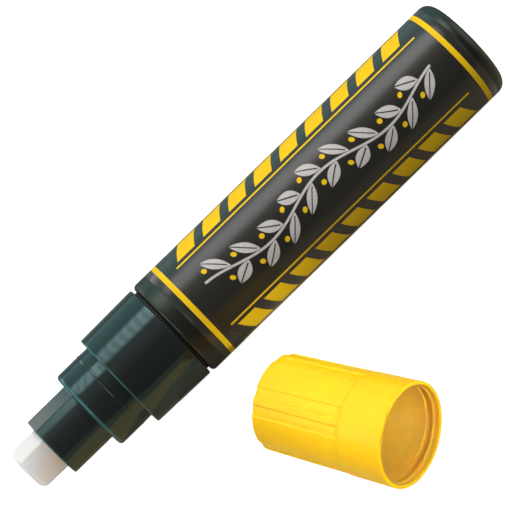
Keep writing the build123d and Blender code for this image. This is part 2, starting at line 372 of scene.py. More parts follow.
def paint_mouthpiece(graph, part):
    """Glossy dark plastic with a painted highlight of paler teal along the front edges of its steps, and
    duller on the nozzle.
    """
    # Height, radius and width of each front edge that gets the painted highlight
    steps = (
        (SEAT_BASE, part.collar_front / 2, 0.45 * MM),
        (SEAT_TOP, part.seat / 2, 1.0 * MM),
        (NOZZLE_TOP, part.flats / 2, 0.35 * MM),
    )
    # The painted highlight's band in shares of its width, and what the nozzle adds to the roughness
    set_back, highlight_half, fade = 0.45, 0.75, 1.2
    nozzle_dullness = 0.12
    skin_finish = dict(rough=0.022, spread=0.010, grain=1.1, depth=0.0001 * MM, ior=1.52)
    sockets = moulded(graph, part.shade, tint=part.sheen, **skin_finish)
    x, y, z = graph.place()
    along = x * -1.0
    radius = (y * y + z * z).math("SQRT")
    edges = []
    for front, outer, wide in steps:
        near = 1.0 - abs((along - (front - wide * set_back) / MM) / (wide * highlight_half / MM))
        edges.append(near.clamped() * ((radius - outer / MM) / (wide / MM) + fade).clamped())
    on_nozzle = along.rise(SEAT_TOP / MM, 1.0)
    return {
        **sockets,
        # Painted highlight: the edge colour is laid over the front edges of the steps
        "Base Color": graph.mix(reduce(Value.most, edges), sockets["Base Color"], part.edge),
        "Roughness": sockets["Roughness"] + on_nozzle * nozzle_dullness,
    }


def paint_cap(graph, cap):
    """Translucent yellow plastic, with a painted shade that makes the lands inside the mouth a deeper yellow
    and painted light that makes the inner wall paler.
    """
    sockets = moulded(graph, cap.shade, rough=0.33, spread=0.10, grain=3.2, depth=0.004 * MM, ior=1.50)
    depth = graph.value("ShaderNodeAttribute", output="Fac", attribute_name="inner_wall")
    # Painted shade on the lands, then painted light on the inner wall
    painted_mouth_shade = graph.mix(depth.rise(0.0, 0.5), sockets["Base Color"], cap.lands)
    return {
        **sockets,
        "Base Color": graph.mix(depth.rise(0.5, 0.5), painted_mouth_shade, cap.lining),
        "Specular IOR Level": 0.20,
        "Subsurface Weight": 0.85,
        "Subsurface Radius": (1.0, 0.55, 0.10),
        "Subsurface Scale": 1.6 * MM,
    }


def paint_nib(graph, nib):
    """Dull fibre with lengthwise streaks, beige between the fibres and towards the nozzle; painted light
    makes it paler towards the upper side and painted shade beige towards the lower edge, and the upper
    narrow face gets a duller white as painted shade.
    """
    x, y, z = graph.place()
    strand_stretch, fuzz_stretch, tip_length = 0.06, 0.25, 7.5
    strands = graph.noise((x * strand_stretch, y, z), scale=3.4, detail=4.0, roughness=0.62)
    tufts = graph.noise((x, y, z), scale=0.55, detail=3.0)
    fuzz = graph.noise((x * fuzz_stretch, y, z), scale=9.0)
    upper = (z * math.cos(nib.turn) + y * math.sin(nib.turn)) / (nib.width / MM) + 0.5
    streak = ((strands - 0.36) * 2.6).clamped()
    tip_side = (x * -1.0).rise(NOZZLE_TOP / MM, tip_length)
    # Painted light: paler towards the upper side, which leaves painted shade towards the lower edge
    painted_upper_light = upper.rise(0.30, 0.50)
    # Painted shade: the upper narrow face takes the duller white
    narrow = upper.rise(0.84, 0.16)
    tone = (streak * 0.16 + tufts * 0.14 + tip_side * 0.48 + painted_upper_light * 0.45).clamped()
    return {
        "Base Color": graph.mix(narrow, graph.mix(tone, nib.stain_and_shade, nib.shade), nib.side),
        "Roughness": 0.86 + fuzz * 0.12,
        "Normal": graph.bump(strands * 0.6 + fuzz * 0.4, 0.06 * MM),
        "Specular IOR Level": 0.22,
        "Subsurface Weight": 0.90,
        "Subsurface Radius": (1.0, 0.92, 0.82),
        "Subsurface Scale": 2.8 * MM,
    }


def paint_label(graph, label, radius):
    """Printed film: slanted bars, fine lines, end rings and a leafy branch in chalk on varnished black."""
    # Layout in millimetres: the bars, the rows that they fill, the lines beside the rows, and the end rings
    slant, bar_pitch, bar_middle, bar_half = 0.45, 9.2, 3.036, 3.04
    row_start, row_half, row_off, row_rise = 20.0, 41.4, 16.1, 3.7
    line_off, line_half, line_margin = 5.2, 0.28, 7.0
    ring_half, ring_margin = 0.75, 2.9
    # The branch in millimetres: its wave and stem, its leaves with their veins, and its berries
    wave_length, wave_rise, stem_half, stem_middle, stem_reach = 42.0, 2.1, 0.34, 53.0, 40.0
    leaf_pitch, leaf_root, leaf_middle, leaf_half, leaf_bulge = 8.4, 3.7, 4.4, 3.7, 1.55
    leaves_middle, leaves_half = 6.5 * leaf_pitch, 4.5 * leaf_pitch
    vein_half, vein_start = 0.17, 1.6
    berry_along, berry_off, berry_radius = 2.9, 2.7, 0.72
    lean = math.radians(40.0)

    radius_mm = radius / MM
    half_panel = math.pi * radius_mm / 2
    cosine, sine = math.cos(label.facing), math.sin(label.facing)
    start, stop = label.start / MM, label.stop / MM
    x, y, z = graph.place()
    along = x * -1.0
    turn = (y * cosine - z * sine).math("ARCTAN2", z * cosine + y * sine)
    panel = (turn * radius_mm).math("WRAP", half_panel, -half_panel)
    across = abs(panel)
    point = (x, y, z)
    grit = graph.noise(point, scale=2.6, detail=5.0, roughness=0.7)
    smudge = graph.noise(point, scale=0.30, detail=4.0, roughness=0.6)
    film = graph.noise(point, scale=1.3)

    reach = along.band((start + stop) / 2, (stop - start) / 2)
    slanted = along + across * slant
    bar = (((slanted - row_start) / bar_pitch).math("FRACT") * bar_pitch).band(bar_middle, bar_half)
    row = bar.most(across.band(row_off, row_rise)).most(slanted.band(row_start + row_half, row_half))
    lines = abs(across - row_off).band(line_off, line_half).most(reach + line_margin)
    rings = reach.band(-ring_margin, ring_half)

    offset = panel - (along * (math.tau / wave_length)).math("SINE") * wave_rise
    branch = [(abs(offset) - stem_half).most(along.band(stem_middle, stem_reach))]
    berries = []
    for side, shift in ((1.0, 0.0), (-1.0, leaf_pitch / 2)):
        cell = ((along + shift) / leaf_pitch).math("FRACT") * leaf_pitch - leaf_pitch / 2
        ends = along.band(leaves_middle - shift, leaves_half)
        rise, root = offset * side, cell + leaf_root
        leaf_u = root * math.cos(lean) + rise * math.sin(lean)
        leaf_v = abs(rise * math.cos(lean) - root * math.sin(lean))
        share_u = (leaf_u - leaf_middle) / leaf_half
        blade = leaf_v - (1.0 - share_u * share_u) * leaf_bulge
        vein = (vein_half - leaf_v).least(leaf_u - vein_start)
        branch.append(blade.most(vein).most(ends))
        berry_u, berry_v = cell - berry_along, rise - berry_off
        berry = (berry_u * berry_u + berry_v * berry_v).math("SQRT") - berry_radius
        berries.append(berry.most(ends))

    dusty = 0.74 + grit.rise(0.33, 0.20) * 0.26
    ragged = (grit - 0.5) * 0.275
    chalk = (reduce(Value.least, branch) + ragged).inside(0.16) * dusty
    yellow = row.least(lines).least(rings).inside(0.07).most(reduce(Value.least, berries).inside(0.10))
    ground = graph.mottle(smudge, label.ground, deepest=0.82)
    return {
        "Base Color": graph.mix(chalk, graph.mix(yellow, ground, label.accent), label.chalk),
        "Roughness": 0.34 + (smudge - 0.5) * 0.08 + chalk * 0.16 + yellow * 0.16,
        "Normal": graph.bump(film * 0.20 + yellow * 0.5 + chalk * 0.5, 0.006 * MM),
        "IOR": 1.50,
        "Specular IOR Level": 0.12,
        "Specular Tint": (1.0, 0.90, 0.86),
        "Coat Weight": 1.0 - yellow.most(chalk),
        "Coat Roughness": 0.25,
        "Coat IOR": 1.39,
    }


def paint_metal(graph, shade, rough, stretch):
    """Drawn or ground steel with fine lines along one axis."""
    x, y, z = graph.place()
    lines = graph.noise((x * stretch, y, z), scale=9.0, detail=3.0)
    return {
        "Base Color": graph.mottle(lines, shade, deepest=0.85),
        "Metallic": 1.0,
        "Roughness": rough + lines * 0.12,
        "Normal": graph.bump(lines, 0.003 * MM),
    }


def smooth_step(part):
    """A share from 0 to 1 that starts and ends level."""
    return part * part * (3.0 - part * 2.0)


def quarter_turn(steps):
    """Angles from 0 to a right angle."""
    return np.linspace(0, math.pi / 2, steps + 1)


def rounded(corners, steps=8):
    """An outline of (radius, height) points, with a round for each corner that gives a third number.

    A point on the straight beside each round keeps the straight flat under smooth shading.
    """
    hold_share, straight_share = 0.2, 0.4
    places = np.array([corner[:2] for corner in corners], float)
    rounds = np.array([corner[2] if len(corner) == 3 else 0.0 for corner in corners])
    runs = np.array([np.roll(places, shift, axis=0) - places for shift in (1, -1)])
    spans = np.linalg.norm(runs, axis=2)
    sides = runs / spans[:, :, None]
    halves = np.arccos(np.clip((sides[0] * sides[1]).sum(axis=1), -1.0, 1.0)) / 2
    cuts = rounds / np.tan(halves)
    free = spans - cuts - [np.roll(cuts, shift) for shift in (1, -1)]
    starts = cuts + np.minimum(rounds * hold_share, free * straight_share)
    points = []
    for index, here in enumerate(places):
        if rounds[index] == 0:
            points.append(here)
            continue
        before, after = sides[:, index]
        middle = (before + after) / np.linalg.norm(before + after)
        centre = here + middle * rounds[index] / math.sin(halves[index])
        first, last = here + sides[:, index] * cuts[index] - centre
        sweep = math.pi - 2 * halves[index]
        points.append(here + before * starts[0, index])
        for turn in np.linspace(0, sweep, steps + 1):
            spread = first * math.sin(sweep - turn) + last * math.sin(turn)
            points.append(centre + spread / math.sin(sweep))
        points.append(here + after * starts[1, index])
    return points


def even_angles(count, *close_to):
    """Angles round a piece, with more of them about each (angle, spread, steps) where its section turns."""
    found = [math.tau * step / count for step in range(count)]
    for centre, spread, steps in close_to:
        found += [centre + spread * (2 * step / steps - 1) for step in range(steps + 1)]
    return np.unique(np.round(np.mod(found, math.tau), 6))


def around(levels, angles, axes=MARKER_AXES, origin=(0.0, 0.0, 0.0)):
    """Rings about an axis from (radius, height) pairs. A radius of 0 gives a ring of one point."""
    rings = []
    for radius, height in levels:
        radii, heights = np.broadcast_to(radius, angles.shape), np.broadcast_to(height, angles.shape)
        ring = np.stack([radii * np.cos(angles), radii * np.sin(angles), heights], axis=1)
        rings.append((ring if radii.any() else ring[:1]) @ axes + origin)
    return rings


def add(name, data):
    """A new object in the scene, from its mesh, light or camera."""
    made = bpy.data.objects.new(name, data)
    bpy.context.scene.collection.objects.link(made)
    return made


def skin(name, rings, closed=True):
    """A mesh object through rings of points. One point ends it, and closed joins the last to the first."""
    points, starts = [], []
    for ring in rings:
        starts.append((len(points), len(ring)))
        points.extend(ring)
    pairs = list(zip(starts, starts[1:]))
    if closed:
        pairs.append((starts[-1], starts[0]))
    faces = []
    for (low, low_count), (high, high_count) in pairs:
        count = max(low_count, high_count)
        for step in range(count):
            after = (step + 1) % count
            below = [low + step % low_count, low + after % low_count]
            above = [high + after % high_count, high + step % high_count]
            faces.append(list(dict.fromkeys(below + above)))
    mesh = bpy.data.meshes.new(name)
    mesh.from_pydata([tuple(point) for point in points], [], faces)
    work = bmesh.new()
    work.from_mesh(mesh)
    bmesh.ops.recalc_face_normals(work, faces=work.faces)
    work.to_mesh(mesh)
    work.free()
    mesh.polygons.foreach_set("use_smooth", [True] * len(mesh.polygons))
    return add(name, mesh)


def dress(piece, body, node, finish):
    """Gives a new piece its finish and its body, and hides the node that it stands for."""
    piece.data.materials.append(finish)
    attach(piece, body)
    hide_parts(node)


class CHALK_MARKER_OT_barrel(Operator):
    """Turn the closed barrel with its rounded edges and the recess for its label"""

    bl_idname = "chalk_marker.barrel"
    bl_label = "Barrel"

    def execute(self, context):
        barrel, label = context.scene.chalk_barrel, context.scene.chalk_label
        outer = barrel.diameter / 2
        bed, inner = outer - barrel.bed, outer - barrel.wall
        bed_round, rim_round, floor_round = lengths(0.02, 0.15, 1.5)
        corners = [
            (0.0, 0.0),
            (outer, 0.0, barrel.base_round),
            (outer, label.start, bed_round),
            (bed, label.start),
            (bed, label.stop),
            (outer, label.stop, bed_round),
            (outer, barrel.height, barrel.mouth_round),
            (inner, barrel.height, rim_round),
            (inner, barrel.floor, floor_round),
            (0.0, barrel.floor),
        ]
        piece = skin("barrel_tube", around(rounded(corners), even_angles(COLUMNS)), closed=False)
        skin_finish = dict(rough=0.37, spread=0.10, grain=5.0, depth=0.004 * MM, ior=1.49)
        finish = material("barrel_satin", moulded, barrel.shade, tint=barrel.sheen, **skin_finish)
        dress(piece, "marker_body", "barrel", finish)
        return {"FINISHED"}


class CHALK_MARKER_OT_label(Operator):
    """Wrap the printed film once round the barrel, with its glued overlap at the back"""

    bl_idname = "chalk_marker.label"
    bl_label = "Label"

    # Turn from the print's middle to the seam, and the angles over which the overlap's ends rise and fall
    seam_turn, seam_rise, lap_fall = math.radians(168.0), 0.003, 0.06
    rows = 24

    def execute(self, context):
        barrel, label = context.scene.chalk_barrel, context.scene.chalk_label
        outer = barrel.diameter / 2
        edge = 0.02 * MM
        seam = label.facing + self.seam_turn
        lap = label.lap / outer
        angles = even_angles(COLUMNS, (seam, 0.004, 8), (seam + lap, 0.05, 8))
        past = np.mod(angles - seam + math.pi, math.tau) - math.pi
        fall = np.clip((lap + self.lap_fall / 2 - past) / self.lap_fall, 0, 1)
        inside = outer - label.film
        outside = outer + np.clip(past / self.seam_rise, 0, 1) * fall * label.lap_rise
        levels = [(inside, label.start), (outside - edge, label.start)]
        heights = np.linspace(label.start + edge, label.stop - edge, self.rows + 1)
        levels += [(outside, height) for height in heights]
        levels += [(outside - edge, label.stop), (inside, label.stop)]
        piece = skin("label_film", around(levels, angles))
        finish = material("printed_film", paint_label, label, outer)
        dress(piece, "marker_body", "label_sleeve", finish)
        return {"FINISHED"}


class CHALK_MARKER_OT_gasket(Operator):
    """Turn the black ring between the barrel and the collar"""

    bl_idname = "chalk_marker.gasket"
    bl_label = "Gasket"

    columns = 180

    def execute(self, context):
        barrel, gasket = context.scene.chalk_barrel, context.scene.chalk_gasket
        inner = barrel.diameter / 2 - barrel.wall
        outer = inner + gasket.width
        low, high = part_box("barrel_gasket")
        edge = 0.15 * MM
        corners = [(inner, -high.x), (outer, -high.x, edge), (outer, -low.x, edge), (inner, -low.x)]
        piece = skin("gasket_ring", around(rounded(corners, steps=4), even_angles(self.columns)))
        skin_finish = dict(rough=0.62, spread=0.12, grain=6.0, depth=0.012 * MM, ior=1.52)
        finish = material("black_rubber", moulded, gasket.shade, **skin_finish)
        dress(piece, "marker_body", "barrel_gasket", finish)
        return {"FINISHED"}


def block_radii(angles, half_width, half_thickness, corner):
    """Distance from the axis to a rounded rectangle in each direction, found by halving."""
    halvings = 40
    directions = np.abs(np.stack([np.cos(angles), np.sin(angles)], axis=1))
    limits = np.array([half_width - corner, half_thickness - corner])
    low = np.zeros_like(angles)
    high = np.full_like(angles, half_width + half_thickness)
    for _ in range(halvings):
        middle = (low + high) / 2
        beyond = directions * middle[:, None] - limits
        outside = np.linalg.norm(np.maximum(beyond, 0), axis=1) + np.minimum(beyond.max(axis=1), 0) - corner
        low = np.where(outside < 0, middle, low)
        high = np.where(outside < 0, high, middle)
    return (low + high) / 2


def front_outline(plug, part):
    """Outline of the plug, the collar and the seat with its bead, up to the foot of the nozzle."""
    base, seat = -MOUTHPIECE_HIGH.x, part.seat / 2
    bead_rise, bead_half = 0.11, 0.4
    # Radius and height of each corner, each with what is added in millimetres, and its round in millimetres
    corners = [
        (BORE, 0.0, base, 0.0, 0.0),
        (plug, -0.8, base, 0.0, 0.1),
        (plug, 0.0, base, 0.8, 0.2),
        (plug, 0.0, RIDGE, -0.8, 0.0),
        (plug, 0.35, RIDGE, -0.27, 0.1),
        (plug, 0.35, RIDGE, 0.27, 0.1),
        (plug, 0.0, RIDGE, 0.8, 0.0),
        (plug, 0.0, COLLAR_BASE, 0.0, 0.05),
        (part.collar_back / 2, 0.0, COLLAR_BASE, 0.0, 0.4),
        (part.collar_front / 2, 0.0, SEAT_BASE, 0.0, 0.4),
        (seat, -0.05, SEAT_BASE, 0.0, 0.12),
        (seat, -0.05, SEAT_BASE, 1.6, 4.0),
        (seat, 0.0, SEAT_BASE, 2.6, 4.0),
        (seat, 0.0, BEAD, -0.45, 0.0),
    ]
    for turn in np.linspace(-math.pi / 2, math.pi / 2, 13):
        corners.append((seat, bead_rise * math.cos(turn) ** 2, BEAD, bead_half * math.sin(turn), 0.0))
    corners += [
        (seat, 0.0, BEAD, 0.45, 0.0),
        (seat, 0.0, SEAT_TOP, 0.0, 1.0),
        (part.nozzle / 2, 0.0, SEAT_TOP, 0.0, 0.0),
    ]
    metres = [(radius + out * MM, height + up * MM, bend * MM) for radius, out, height, up, bend in corners]
    return rounded(metres)[:-1]


class CHALK_MARKER_OT_mouthpiece(Operator):
    """Shape the front section: plug, collar, seat with its snap bead, and nozzle with two flats"""

    bl_idname = "chalk_marker.mouthpiece"
    bl_label = "Mouthpiece"

    def execute(self, context):
        scene = context.scene
        barrel, part, nib = scene.chalk_barrel, scene.chalk_mouthpiece, scene.chalk_nib
        fit, gap, blend, foot, edge, rim_wide, rim_fine = lengths(0.05, 0.15, 0.015, 0.2, 0.3, 0.1, 0.03)
        reach, flat = part.nozzle / 2, part.flats / 2
        corner = math.acos(flat / reach)
        corners = [nib.turn + side * corner + half for side in (-1, 1) for half in (0, math.pi)]
        angles = even_angles(COLUMNS, *[(place, 0.03, 12) for place in corners])
        # Kept off zero, where a flat's line would lie too far out
        facing = np.maximum(np.abs(np.cos(angles - nib.turn)), 0.2)

        def nozzle(inset):
            """Radii of the nozzle, inset all round: a circle with two flats and a small blend between."""
            circle, chord = reach - inset, (flat - inset) / facing
            nearness = np.clip(0.5 + (chord - circle) / (2 * blend), 0, 1)
            return chord * (1 - nearness) + circle * nearness - blend * nearness * (1 - nearness)

        levels = front_outline(barrel.diameter / 2 - barrel.wall - fit, part)
        for turn in quarter_turn(4):
            levels.append((nozzle(-foot * (1 - math.sin(turn))), SEAT_TOP + foot * (1 - math.cos(turn))))
        levels += [(nozzle(0), SEAT_TOP + 2 * foot), (nozzle(0), NOZZLE_TOP - 1.2 * edge)]
        for turn in quarter_turn(6):
            levels.append((nozzle(edge * (1 - math.cos(turn))), NOZZLE_TOP - edge * (1 - math.sin(turn))))
        half_width, half_thickness = nib.width / 2 + gap, nib.thickness / 2 + gap
        hole = block_radii(angles - nib.turn, half_width, half_thickness, nib.side_round + gap)
        levels += [
            (hole * 0.6 + nozzle(edge) * 0.4, NOZZLE_TOP),
            (hole + rim_wide, NOZZLE_TOP),
            (hole + rim_fine, NOZZLE_TOP - rim_fine),
            (hole, NOZZLE_TOP - rim_wide),
            (hole, CHAMBER_TOP),
            (CHAMBER, CHAMBER_TOP),
            (CHAMBER, VALVE_FACE),
            (BORE, VALVE_FACE),
        ]
        piece = skin("mouthpiece_moulding", around(levels, angles))
        finish = material("teal_gloss", paint_mouthpiece, part)
        dress(piece, "marker_body", "mouthpiece", finish)
        return {"FINISHED"}


class CHALK_MARKER_OT_nib(Operator):
    """Build the fibre block with its rounded writing edges and the relief of its strands"""

    bl_idname = "chalk_marker.nib"
    bl_label = "Nib"

    # Points round the block, rings along its sides, and steps of its writing edges
    columns, side_rings, tip_steps = 420, 63, 13
    # The length at the tip that shows wear, the least round of an edge, and the roughness of the end
    worn_length, least_round, end_relief = lengths(8.0, 0.4, 0.02)
    # Shares of the fibre relief: the strands, their wander along the block, and how far all is set back
    strand_share, wander_share, set_back = 0.6, 0.35, 0.8
    # Share of an inset that its corners lose, and how soon the relief is whole along the worn length
    corner_loss, onset = 0.3, 4

    def execute(self, context):
        nib = context.scene.chalk_nib
        base, top, tip = -NIB_HIGH.x, -NIB_LOW.x, nib.tip_round
        angles = even_angles(self.columns)
        draw = np.random.RandomState(nib.seed)
        count = len(angles)

        def smooth_draw(width):
            """Random heights round the block, smoothed over a width in points."""
            raw = draw.uniform(-1, 1, count)
            kernel = np.hanning(width + 2)[1:-1]
            kernel = kernel / np.sqrt((kernel**2).sum())
            return np.real(np.fft.ifft(np.fft.fft(raw) * np.fft.fft(kernel, count)))

        strands = self.strand_share * (smooth_draw(3) + smooth_draw(9))
        sections = [(height, 0.0) for height in np.linspace(base, top - tip, self.side_rings + 1)]
        for turn in quarter_turn(self.tip_steps)[1:]:
            sections.append((top - tip + tip * math.sin(turn), tip * (1 - math.cos(turn))))
        levels = [(0.0, base)]
        for height, inset in sections:
            corner = max(nib.side_round - inset * self.corner_loss, self.least_round)
            radii = block_radii(angles - nib.turn, nib.width / 2 - inset, nib.thickness / 2 - inset, corner)
            worn = np.clip((height - (top - self.worn_length)) / self.worn_length, 0, 1)
            wander = self.wander_share * smooth_draw(5)
            relief = (strands + wander * worn) * min(1.0, worn * self.onset) - self.set_back
            radii = radii + nib.fibre * relief
            levels.append((radii, height))
        for scale in (0.86, 0.66, 0.42, 0.2):
            levels.append((radii * scale, height - self.end_relief * smooth_draw(7)))
        levels.append((0.0, top))
        piece = skin("nib_block", around(levels, angles), closed=False)
        dress(piece, "nib_unit", "nib", material("pressed_fibre", paint_nib, nib))
        return {"FINISHED"}


class CHALK_MARKER_OT_cap(Operator):
    """Mould the cap that lies beside the marker: smooth ring, paired grip grooves, snap and seal lands"""

    bl_idname = "chalk_marker.cap"
    bl_label = "Cap"

    # The cap's mouth on the floor, the way that it points, and its grooves in degrees, as in the solids
    mouth_x, mouth_y = lengths(-83.9, -75.9)
    heading = math.radians(-65.5)
    first_groove, groove_pitch, groove_half, groove_edge = 29.0, 21.5, 6.25, 1.15
    repeats = 5
    # Points round the cap, more of them across each edge of a groove, and rings over the step and the grip
    columns, edge_points, step_rings, grip_rings = 216, 12, 9, 14
    edge_spread = math.radians(1.4)
    # Radius, height and round in millimetres of the throat, seal, lip, snap ridge and lip inside the mouth
    lip = 12.5
    lands = (
        (12.3, 7.6, 0.3),
        (12.2, 7.2, 0.1),
        (12.2, 4.25, 0.15),
        (lip, 3.85, 0.15),
        (lip, 2.7, 0.15),
        (12.12, 2.3, 0.12),
        (12.12, 1.8, 0.12),
        (lip, 1.4, 0.15),
        (lip, 0.0, 0.35),
    )
    # Heights between which the painted shade on the lands goes over into the painted light on the inner wall
    lining_start, lining_span = lengths(3.0, 4.6)

    def execute(self, context):
        cap = context.scene.chalk_cap
        mouth, end = cap.mouth / 2, cap.end / 2
        pair = self.first_groove + self.groove_half + np.array([0.0, self.groove_pitch])
        middles = np.concatenate([pair + repeat * 360 / self.repeats for repeat in range(self.repeats)])
        edges = np.radians(np.concatenate([middles - self.groove_half, middles + self.groove_half]))
        close_to = [(edge, self.edge_spread, self.edge_points) for edge in edges]
        angles = even_angles(self.columns, *close_to)
        turns = np.mod(np.degrees(angles)[:, None] - middles + 180, 360) - 180
        off = np.abs(turns).min(axis=1) - self.groove_half
        groove = cap.groove * smooth_step(np.clip(0.5 - off / (2 * self.groove_edge), 0, 1))

        def wall(height):
            """Radius of the tapered outside, before the step behind the ring."""
            return mouth - (mouth - end) * height / cap.height

        roof_thick, roof_round, grip_wall, mouth_round = lengths(1.6, 0.8, 1.2, 0.35)
        roof = cap.height - roof_thick
        corners = [(0.0, roof), (wall(roof) - cap.step - grip_wall, roof, roof_round)]
        corners += [lengths(*land) for land in self.lands]
        corners += [(mouth, 0.0, mouth_round), (wall(cap.ring), cap.ring)]
        inside = rounded(corners, steps=6)[:-1]

        step_half, step_hold = lengths(0.16, 1.2)
        levels = inside + [(wall(cap.ring - step_hold), cap.ring - step_hold)]
        for part in np.linspace(0, 1, self.step_rings):
            height = cap.ring - step_half + 2 * step_half * part
            levels.append((wall(height) - smooth_step(part) * (cap.step + groove), height))
        for height in np.linspace(cap.ring + 3 * step_half, cap.height - cap.end_round, self.grip_rings):
            levels.append((wall(height) - cap.step - groove, height))
        for turn in quarter_turn(8)[1:]:
            height = cap.height - cap.end_round * (1 - math.sin(turn))
            inset = cap.end_round * (1 - math.cos(turn))
            levels.append((wall(height) - cap.step - inset - groove, height))
        # On the flat end the grooves run out towards a share of its radius
        rim, groove_end = wall(cap.height) - cap.step - cap.end_round, 0.8
        for scale in (0.985, groove_end, 0.5, 0.2):
            groove_share = max(0.0, scale - groove_end) / (1 - groove_end)
            levels.append((rim * scale - groove * groove_share, cap.height))
        levels.append((0.0, cap.height))

        # The cap rests on its ring and its end, so its axis tips up a little towards the mouth
        ring_radius = wall(cap.ring)
        tilt = math.atan2(ring_radius - end + cap.step, cap.height - cap.ring - cap.end_round)
        lift = ring_radius * math.cos(tilt) + cap.ring * math.sin(tilt)
        place = (self.mouth_x, self.mouth_y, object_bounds()[0].z + lift)
        turn = Matrix.Rotation(self.heading, 3, "Z") @ Matrix.Rotation(-tilt, 3, "Y")
        rings = around(levels, angles, MARKER_AXES @ np.array(turn.transposed()), place)
        piece = skin("cap_moulding", rings, closed=False)

        # 0 outside, 0.5 on the lands inside the mouth and 1 on the inner wall: the lands get a painted shade
        # and the inner wall painted light
        depths = np.zeros(len(levels))
        for number, (radius, height) in enumerate(inside):
            if radius < (self.lip + 0.001) * MM:
                depths[number] = 0.5 + 0.5 * np.clip((height - self.lining_start) / self.lining_span, 0, 1)
        inner = piece.data.attributes.new("inner_wall", "FLOAT", "POINT")
        inner.data.foreach_set("value", np.repeat(depths, [len(ring) for ring in rings]))
        dress(piece, "cap_unit", "cap", material("yellow_moulding", paint_cap, cap))
        return {"FINISHED"}


class CHALK_MARKER_OT_valve(Operator):
    """Wind the valve's spring, and give the other valve nodes and the mixing ball their finishes"""

    bl_idname = "chalk_marker.valve"
    bl_label = "Valve and ball"

    # The spring as in the solids: turns, the gap at each of its ends, its whole length and its travel
    turns = 7
    end_gap, free_length, travel = lengths(0.05, 16.5, 2.5)
    # Rings to a turn of the wire, and points round it
    turn_steps, sides = 40, 12

    def coil(self, valve):
        """One wound wire between the cage's floor and the plunger's head."""
        low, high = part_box("valve_spring")
        wire = valve.wire_across / 2
        radius = high.z - wire
        first, last = -high.x + wire, -low.x - wire
        lead = (last - first) / (math.tau * self.turns)
        spokes = even_angles(self.sides)
        centres, rings = [], []
        for step in range(self.turn_steps * self.turns + 1):
            turn = math.tau * step / self.turn_steps
            outward = Vector((0.0, math.sin(turn), math.cos(turn)))
            along = Vector((-lead, radius * outward.z, -radius * outward.y)).normalized()
            across = along.cross(outward)
            centres.append(outward * radius - Vector((first + lead * turn, 0.0, 0.0)))
            rings += around([(wire, 0.0)], spokes, np.array([outward, across, along]), centres[-1])
        piece = skin("valve_coil", [centres[:1], *rings, centres[-1:]], closed=False)
        finish = material("drawn_wire", paint_metal, valve.wire, rough=0.22, stretch=1.0)
        dress(piece, "marker_body", "valve_spring", finish)
        floor = (high.x + self.end_gap, 0.0, 0.0)
        1 - self.travel / self.free_length
        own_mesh(piece)

    def execute(self, context):
        valve = context.scene.chalk_valve
        self.coil(valve)
        plastic_skin = dict(rough=0.42, spread=0.10, grain=3.0, depth=0.006 * MM, ior=1.49)
        rubber_skin = dict(rough=0.66, spread=0.12, grain=5.0, depth=0.010 * MM, ior=1.50)
        plastic = material("natural_plastic", moulded, valve.plastic, **plastic_skin)
        finishes = {
            "valve_plunger": plastic,
            "valve_cage": plastic,
            "valve_seat": material("soft_rubber", moulded, valve.rubber, **rubber_skin),
            "mixing_ball": material("ground_ball", paint_metal, valve.ball, rough=0.10, stretch=0.4),
        }
        for name, finish in finishes.items():
            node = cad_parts[name]
            node.data.materials.clear()
            node.data.materials.append(finish)
        return {"FINISHED"}


def paint_floor(graph, stage):
    """White that glows to the camera, and is darker in the gloss and for the light that it bounces."""
    shades = (stage.floor, (0.22, 0.22, 0.22), (0.42, 0.37, 0.27), (0.17, 0.25, 0.25))
    diffuse = [graph.node("ShaderNodeBsdfDiffuse", {"Color": shade}) for shade in shades]
    white, bounced, before, behind = diffuse
    glow = graph.node("ShaderNodeEmission", {"Strength": stage.glow})
    lit = graph.node("ShaderNodeAddShader", {0: white, 1: glow})
    path = graph.node("ShaderNodeLightPath").outputs
    seen = graph.either(path["Is Camera Ray"], bounced, lit)
    mirrored = graph.either(graph.place()[1].rise(-10.0, 40.0), before, behind)
    return graph.either(path["Is Glossy Ray"], seen, mirrored)


def set_floor(stage):
    """A wide white floor under the marker and its cap."""
    half, level = 6.0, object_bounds()[0].z
    mesh = bpy.data.meshes.new("studio_floor")
    corners = [(-half, -half, level), (half, -half, level), (half, half, level), (-half, half, level)]
    mesh.from_pydata(corners, [], [(0, 1, 2, 3)])
    mesh.materials.append(material("lit_table", paint_floor, stage))
    add("studio_floor", mesh)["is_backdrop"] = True


def light(name, kind, place, towards):
    """A light at a place, with its back to a direction, which the camera doesn't see."""
    made = add(name, bpy.data.lights.new(name, kind))
    made.location = place
    made.rotation_mode = "QUATERNION"
    made.rotation_quaternion = towards.to_track_quat("Z", "Y")
    made.visible_camera = False
    return made


def area(name, wide, deep, radiance, place, glossy=True, diffuse=True):
    """A rectangular light at a place, which faces the target."""
    made = light(name, "AREA", place, place - TARGET)
    made.data.shape = "RECTANGLE"
    made.data.size, made.data.size_y = wide, deep
    made.data.energy = radiance * math.pi * wide * deep
    made.visible_glossy, made.visible_diffuse = glossy, diffuse
    return made


def shine(made, paint):
    """Gives a light an emission that varies over its face, from a graph and a place in metres."""
    graph = Graph(made.data)
    place = graph.split(graph.node("ShaderNodeNewGeometry").outputs["Position"])
    graph.node("ShaderNodeOutputLight", {0: graph.node("ShaderNodeEmission", paint(graph, *place))})


def amber_card(stage):
    """A small amber card on the floor, which only the gloss of the front section shows."""
    wide, deep, lift, fade = 0.100, 0.0345, 0.0002, -0.042
    near, far = (0.64, 0.52, 0.07), (0.76, 0.31, 0.040)
    place = Vector((-0.1280, -0.0517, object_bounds()[0].z + lift))
    made = area("amber_card", wide, deep, stage.amber, place, diffuse=False)
    along = Vector((-0.571, 0.821, 0.0)).normalized()
    down = Vector((0.0, 0.0, -1.0))
    made.rotation_quaternion = Matrix((along, down.cross(along), down)).transposed().to_quaternion()

    def paint(graph, x, y, z):
        away = y.rise(0.0, fade)
        return {"Color": graph.mix(away, near, far), "Strength": away}

    shine(made, paint)


